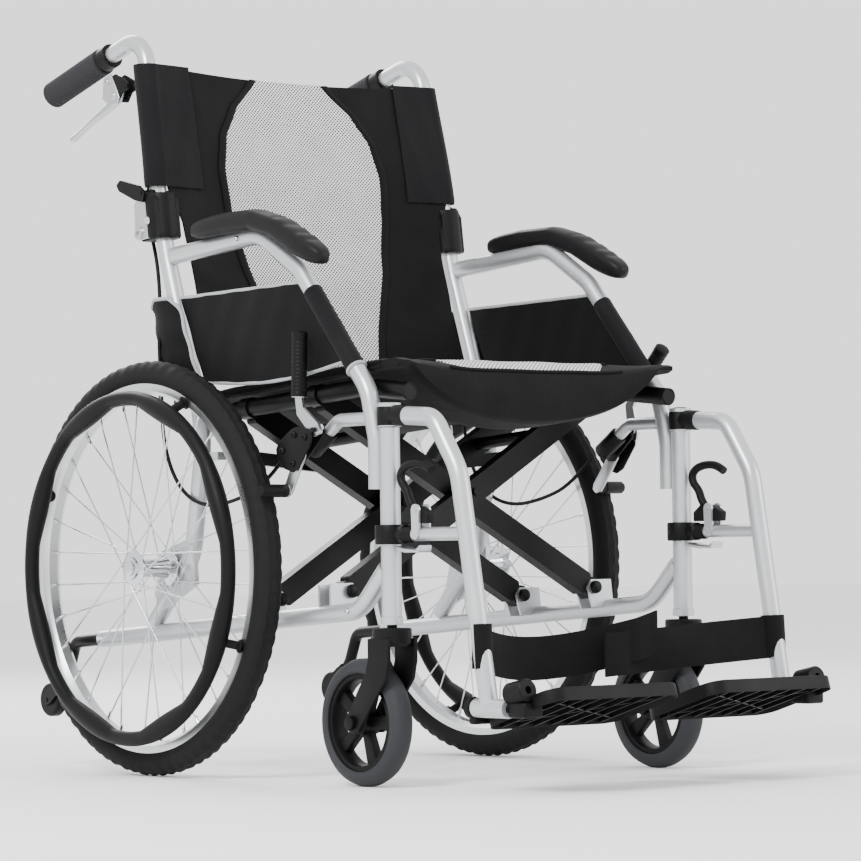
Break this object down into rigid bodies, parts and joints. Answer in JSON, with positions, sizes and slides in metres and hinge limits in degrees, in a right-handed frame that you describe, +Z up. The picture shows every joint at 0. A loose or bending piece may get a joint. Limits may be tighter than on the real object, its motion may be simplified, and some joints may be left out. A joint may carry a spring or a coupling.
{
  "type": "folding self-propelled wheelchair",
  "caption": "Folding wheelchair with spoked rear wheels and handrims, swing-away leg rests, sling seat and back, push grips with hand brakes and anti-tip wheels.",
  "frame": {"origin": "on the ground, at the middle of the chair's footprint", "axes": "+Z up, the user faces -Y, the user's right hand is on the -X side"},
  "size_m": [0.649, 1.012, 0.9491],
  "materials": {
    "silver_tube": "satin silver paint",
    "black_metal": "semi-gloss black powder coat",
    "black_plastic": "moulded, fine texture",
    "tyre_rubber": "treaded rubber",
    "rim_alloy": "anodised",
    "bright_steel": "bright plated",
    "lever_alloy": "satin",
    "grey_tyre": "solid grey tyre on a black core",
    "black_fabric": "woven nylon with pale air-mesh centre",
    "webbing": "black webbing",
    "grip_rubber": "ribbed dark grey"
  },
  "bodies": {
    "frame_right": {"side_frame_right": "silver_tube", "arm_tube_right": "silver_tube", "side_guard_right": "black_fabric", "arm_pad_right": "black_plastic", "brake_body_right": "black_metal", "brake_cable_right": "black_plastic", "back_hinge_right": "black_plastic"},
    "brace_a": {"brace_a": "black_metal"},
    "brace_b": {"brace_b": "black_metal"},
    "frame_left": {"side_frame_left": "silver_tube", "arm_tube_left": "silver_tube", "side_guard_left": "black_fabric", "arm_pad_left": "black_plastic", "brake_body_left": "black_metal", "brake_cable_left": "black_plastic", "back_hinge_left": "black_plastic"},
    "seat_rail_right": {"seat_rail_right": "black_metal", "seat_sling": "black_fabric"},
    "seat_rail_left": {"seat_rail_left": "black_metal"},
    "link_arm_right": {"link_arm_right": "black_metal"},
    "rear_wheel_right": {"tyre_right": "tyre_rubber", "rim_right": "rim_alloy", "spokes_right": "bright_steel", "hub_right": "bright_steel", "handrim_right": "black_plastic"},
    "caster_fork_right": {"caster_fork_right": "black_plastic"},
    "caster_wheel_right": {"caster_wheel_right": "grey_tyre"},
    "hanger_right": {"hanger_right": "silver_tube", "calf_strap_right": "webbing"},
    "latch_right": {"latch_right": "black_plastic"},
    "footplate_right": {"footplate_right": "black_plastic"},
    "brake_lever_right": {"brake_lever_right": "lever_alloy"},
    "brake_shoe_right": {"brake_shoe_right": "black_metal"},
    "back_right": {"back_tube_right": "silver_tube", "push_grip_right": "grip_rubber", "back_sling": "black_fabric"},
    "hand_lever_right": {"hand_lever_right": "lever_alloy"},
    "back_release_right": {"back_release_right": "black_plastic"},
    "anti_tip_right": {"anti_tip_tube_right": "black_metal"},
    "anti_tip_wheel_right": {"anti_tip_wheel_right": "black_plastic"},
    "link_arm_left": {"link_arm_left": "black_metal"},
    "rear_wheel_left": {"tyre_left": "tyre_rubber", "rim_left": "rim_alloy", "spokes_left": "bright_steel", "hub_left": "bright_steel", "handrim_left": "black_plastic"},
    "caster_fork_left": {"caster_fork_left": "black_plastic"},
    "caster_wheel_left": {"caster_wheel_left": "grey_tyre"},
    "hanger_left": {"hanger_left": "silver_tube", "calf_strap_left": "webbing"},
    "latch_left": {"latch_left": "black_plastic"},
    "footplate_left": {"footplate_left": "black_plastic"},
    "brake_lever_left": {"brake_lever_left": "lever_alloy"},
    "brake_shoe_left": {"brake_shoe_left": "black_metal"},
    "back_left": {"back_tube_left": "silver_tube", "push_grip_left": "grip_rubber"},
    "hand_lever_left": {"hand_lever_left": "lever_alloy"},
    "back_release_left": {"back_release_left": "black_plastic"},
    "anti_tip_left": {"anti_tip_tube_left": "black_metal"},
    "anti_tip_wheel_left": {"anti_tip_wheel_left": "black_plastic"}
  },
  "joints": [
    {"name": "frame_fold", "type": "hinge", "parent": "frame_right", "child": "brace_a", "pos_m": [-0.21, -0.027, 0.224], "axis": [0, -0.9972, 0.075], "range_deg": [0, 48], "deforming": ["seat_sling", "back_sling", "calf_strap_right", "calf_strap_left"]},
    {"name": "brace_cross", "type": "hinge", "parent": "brace_a", "child": "brace_b", "pos_m": [0, -0.01794, 0.3445], "axis": [0, -0.9972, 0.075], "range_deg": [-96, 0]},
    {"name": "left_frame_fold", "type": "hinge", "parent": "brace_b", "child": "frame_left", "pos_m": [0.21, -0.027, 0.224], "axis": [0, -0.9972, 0.075], "range_deg": [0, 48]},
    {"name": "seat_rail_right_level", "type": "hinge", "parent": "brace_b", "child": "seat_rail_right", "pos_m": [-0.21, -0.00888, 0.465], "axis": [0, -0.9972, 0.075], "range_deg": [0, 48]},
    {"name": "seat_rail_left_level", "type": "hinge", "parent": "brace_a", "child": "seat_rail_left", "pos_m": [0.21, -0.00888, 0.465], "axis": [0, -0.9972, 0.075], "range_deg": [-48, 0]},
    {"name": "link_arm_right_swing", "type": "hinge", "parent": "frame_right", "child": "link_arm_right", "pos_m": [-0.223, 0.099, 0.4], "axis": [0, -0.9972, 0.075], "range_deg": [0, 78.72]},
    {"name": "rear_wheel_right_spin", "type": "hinge", "parent": "frame_right", "child": "rear_wheel_right", "pos_m": [-0.2765, 0.203, 0.261], "axis": [1, 0, 0], "continuous": true},
    {"name": "caster_right_swivel", "type": "hinge", "parent": "frame_right", "child": "caster_fork_right", "pos_m": [-0.236, -0.227, 0.19], "axis": [0, 0, 1], "continuous": true},
    {"name": "caster_wheel_right_spin", "type": "hinge", "parent": "caster_fork_right", "child": "caster_wheel_right", "pos_m": [-0.236, -0.177, 0.076], "axis": [1, 0, 0], "continuous": true},
    {"name": "hanger_right_swing", "type": "hinge", "parent": "frame_right", "child": "hanger_right", "pos_m": [-0.236, -0.227, 0.44], "axis": [0, 0, -1], "range_deg": [0, 90], "deforming": ["calf_strap_right", "calf_strap_left"]},
    {"name": "latch_right_press", "type": "hinge", "parent": "hanger_right", "child": "latch_right", "pos_m": [-0.236, -0.283, 0.326], "axis": [1, 0, 0], "range_deg": [0, 12], "stiffness_Nm_per_rad": 0.6, "springref_deg": -11.46},
    {"name": "footplate_right_flip", "type": "hinge", "parent": "hanger_right", "child": "footplate_right", "pos_m": [-0.236, -0.407, 0.098], "axis": [0, -1, 0], "range_deg": [0, 90.24]},
    {"name": "brake_lever_right_swing", "type": "hinge", "parent": "frame_right", "child": "brake_lever_right", "pos_m": [-0.25, -0.115, 0.425], "axis": [1, 0, 0], "range_deg": [0, 42]},
    {"name": "brake_shoe_right_swing", "type": "hinge", "parent": "frame_right", "child": "brake_shoe_right", "pos_m": [-0.25, -0.081, 0.398], "axis": [1, 0, 0], "range_deg": [0, 8]},
    {"name": "back_right_fold", "type": "hinge", "parent": "frame_right", "child": "back_right", "pos_m": [-0.236, 0.231, 0.702], "axis": [-1, 0, 0], "range_deg": [0, 90], "deforming": ["back_sling", "brake_cable_right", "brake_cable_left"]},
    {"name": "hand_lever_right_squeeze", "type": "hinge", "parent": "back_right", "child": "hand_lever_right", "pos_m": [-0.228, 0.329, 0.872], "axis": [1, 0, 0], "range_deg": [0, 20], "stiffness_Nm_per_rad": 1.5, "springref_deg": -8.59},
    {"name": "back_release_right_press", "type": "hinge", "parent": "frame_right", "child": "back_release_right", "pos_m": [-0.256, 0.241, 0.738], "axis": [1, 0, 0], "range_deg": [-12, 0], "stiffness_Nm_per_rad": 0.6, "springref_deg": 11.46},
    {"name": "anti_tip_right_turn", "type": "hinge", "parent": "frame_right", "child": "anti_tip_right", "pos_m": [-0.236, 0.368, 0.169], "axis": [0, -0.9974, 0.0724], "range_deg": [0, 180]},
    {"name": "anti_tip_wheel_right_spin", "type": "hinge", "parent": "anti_tip_right", "child": "anti_tip_wheel_right", "pos_m": [-0.236, 0.484, 0.088], "axis": [1, 0, 0], "continuous": true},
    {"name": "link_arm_left_swing", "type": "hinge", "parent": "frame_left", "child": "link_arm_left", "pos_m": [0.223, 0.099, 0.4], "axis": [0, 0.9972, -0.075], "range_deg": [0, 78.72]},
    {"name": "rear_wheel_left_spin", "type": "hinge", "parent": "frame_left", "child": "rear_wheel_left", "pos_m": [0.2765, 0.203, 0.261], "axis": [1, 0, 0], "continuous": true},
    {"name": "caster_left_swivel", "type": "hinge", "parent": "frame_left", "child": "caster_fork_left", "pos_m": [0.236, -0.227, 0.19], "axis": [0, 0, 1], "continuous": true},
    {"name": "caster_wheel_left_spin", "type": "hinge", "parent": "caster_fork_left", "child": "caster_wheel_left", "pos_m": [0.236, -0.177, 0.076], "axis": [1, 0, 0], "continuous": true},
    {"name": "hanger_left_swing", "type": "hinge", "parent": "frame_left", "child": "hanger_left", "pos_m": [0.236, -0.227, 0.44], "axis": [0, 0, 1], "range_deg": [0, 90], "deforming": ["calf_strap_right", "calf_strap_left"]},
    {"name": "latch_left_press", "type": "hinge", "parent": "hanger_left", "child": "latch_left", "pos_m": [0.236, -0.283, 0.326], "axis": [1, 0, 0], "range_deg": [0, 12], "stiffness_Nm_per_rad": 0.6, "springref_deg": -11.46},
    {"name": "footplate_left_flip", "type": "hinge", "parent": "hanger_left", "child": "footplate_left", "pos_m": [0.236, -0.407, 0.098], "axis": [0, 1, 0], "range_deg": [0, 90.24]},
    {"name": "brake_lever_left_swing", "type": "hinge", "parent": "frame_left", "child": "brake_lever_left", "pos_m": [0.25, -0.115, 0.425], "axis": [1, 0, 0], "range_deg": [-42, 0]},
    {"name": "brake_shoe_left_swing", "type": "hinge", "parent": "frame_left", "child": "brake_shoe_left", "pos_m": [0.25, -0.081, 0.398], "axis": [1, 0, 0], "range_deg": [-8, 0]},
    {"name": "back_left_fold", "type": "hinge", "parent": "frame_left", "child": "back_left", "pos_m": [0.236, 0.231, 0.702], "axis": [-1, 0, 0], "range_deg": [0, 90], "deforming": ["back_sling", "brake_cable_left"]},
    {"name": "hand_lever_left_squeeze", "type": "hinge", "parent": "back_left", "child": "hand_lever_left", "pos_m": [0.228, 0.329, 0.872], "axis": [1, 0, 0], "range_deg": [0, 20], "stiffness_Nm_per_rad": 1.5, "springref_deg": -8.59},
    {"name": "back_release_left_press", "type": "hinge", "parent": "frame_left", "child": "back_release_left", "pos_m": [0.256, 0.241, 0.738], "axis": [1, 0, 0], "range_deg": [-12, 0], "stiffness_Nm_per_rad": 0.6, "springref_deg": 11.46},
    {"name": "anti_tip_left_turn", "type": "hinge", "parent": "frame_left", "child": "anti_tip_left", "pos_m": [0.236, 0.368, 0.169], "axis": [0, 0.9974, -0.0724], "range_deg": [0, 180]},
    {"name": "anti_tip_wheel_left_spin", "type": "hinge", "parent": "anti_tip_left", "child": "anti_tip_wheel_left", "pos_m": [0.236, 0.484, 0.088], "axis": [1, 0, 0], "continuous": true}
  ],
  "couplings": [
    {"joint": "brace_cross", "follows": "frame_fold", "ratio": -2},
    {"joint": "left_frame_fold", "follows": "frame_fold", "ratio": 1},
    {"joint": "seat_rail_right_level", "follows": "frame_fold", "ratio": 1},
    {"joint": "seat_rail_left_level", "follows": "frame_fold", "ratio": -1},
    {"joint": "link_arm_right_swing", "follows": "frame_fold", "ratio": 1.64},
    {"joint": "footplate_right_flip", "follows": "frame_fold", "ratio": 1.88},
    {"joint": "brake_shoe_right_swing", "follows": "brake_lever_right_swing", "ratio": 0.19048},
    {"joint": "link_arm_left_swing", "follows": "frame_fold", "ratio": 1.64},
    {"joint": "footplate_left_flip", "follows": "frame_fold", "ratio": 1.88},
    {"joint": "brake_shoe_left_swing", "follows": "brake_lever_left_swing", "ratio": 0.19048},
    {"joint": "back_left_fold", "follows": "back_right_fold", "ratio": 1}
  ]
}
